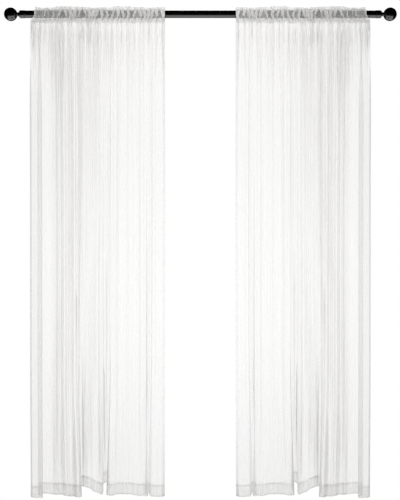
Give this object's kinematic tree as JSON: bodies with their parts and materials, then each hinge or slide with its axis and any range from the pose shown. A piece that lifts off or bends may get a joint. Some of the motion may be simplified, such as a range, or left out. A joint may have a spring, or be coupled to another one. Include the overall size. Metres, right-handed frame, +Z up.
{
  "type": "sheer voile curtain pair on a rod",
  "caption": "Sheer white voile panels gathered by their rod pockets on a slim black round rod with ball finials, hanging in fine vertical folds to deep turned hems.",
  "frame": {"origin": "On the rod's axis, midway along the rod.", "axes": "+X runs along the rod, to the right of someone who faces the curtain. +Y points at the wall behind it. +Z is up."},
  "size_m": [1.7098, 0.1217, 2.1204],
  "materials": {
    "voile": "sheer plain weave",
    "black_metal": "gloss black"
  },
  "bodies": {
    "root": {"panel_left": "voile", "panel_right": "voile", "rod": "black_metal", "finial_left": "black_metal", "finial_right": "black_metal"}
  },
  "joints": []
}
